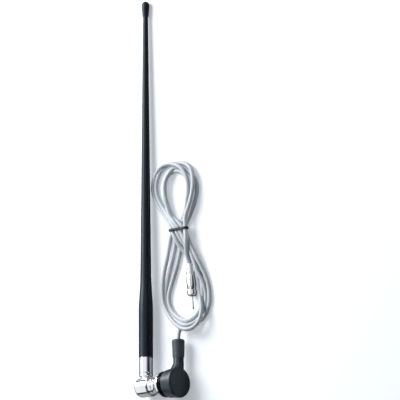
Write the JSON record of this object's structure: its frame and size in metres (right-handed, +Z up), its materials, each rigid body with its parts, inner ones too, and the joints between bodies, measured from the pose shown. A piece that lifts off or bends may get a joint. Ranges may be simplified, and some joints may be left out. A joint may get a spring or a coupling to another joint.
{
  "type": "car antenna",
  "caption": "Car antenna lying down: tapered rubber mast on a chromed swivel head and side-fixing base, with a tied coaxial lead and aerial plug.",
  "frame": {"origin": "on the surface it lies on, under the middle of the antenna without its lead", "axes": "+Y along the mast to its tip, +X from the swivel head to the rear housing, +Z up"},
  "size_m": [0.0963, 0.4506, 0.034],
  "materials": {
    "mast_rubber": "satin",
    "tip_rubber": "gloss",
    "chrome": "polished",
    "spring_steel": "satin",
    "zinc_steel": "satin",
    "brass": "satin",
    "copper": "satin",
    "insulator": "matte",
    "gasket_rubber": "gloss",
    "housing_plastic": "satin",
    "boot_rubber": "matte",
    "cable_sheath": "satin",
    "tie_plastic": "satin",
    "nickel": "polished"
  },
  "bodies": {
    "base": {"pivot_screw": "zinc_steel", "cup_washer": "spring_steel", "friction_washer": "insulator", "base_flange": "chrome", "threaded_stem": "brass", "insulating_bush": "insulator", "panel_gasket": "gasket_rubber", "earth_washer": "zinc_steel", "clamp_nut": "zinc_steel", "rear_housing": "housing_plastic", "solder_tag": "brass", "lead_core": "copper", "lead_inner": "cable_sheath", "braid_crimp": "brass", "lead_boot": "boot_rubber", "cable_lead": "cable_sheath", "cable_hank": "cable_sheath", "cable_tail": "cable_sheath", "cable_tie": "tie_plastic", "plug_body": "nickel", "plug_spring": "nickel", "plug_collar": "nickel", "plug_insulator": "insulator", "plug_pin": "nickel"},
    "mast": {"tip_cap": "tip_rubber", "mast_jacket": "mast_rubber", "whip_rod": "spring_steel", "mast_ferrule": "chrome", "mast_stud": "zinc_steel", "swivel_head": "chrome"}
  },
  "joints": [
    {"name": "mast_swivel", "type": "hinge", "parent": "base", "child": "mast", "pos_m": [-0.022, -0.20822, 0.01159], "axis": [0.9942, 0, 0.1075], "range_deg": [0, 180]}
  ]
}
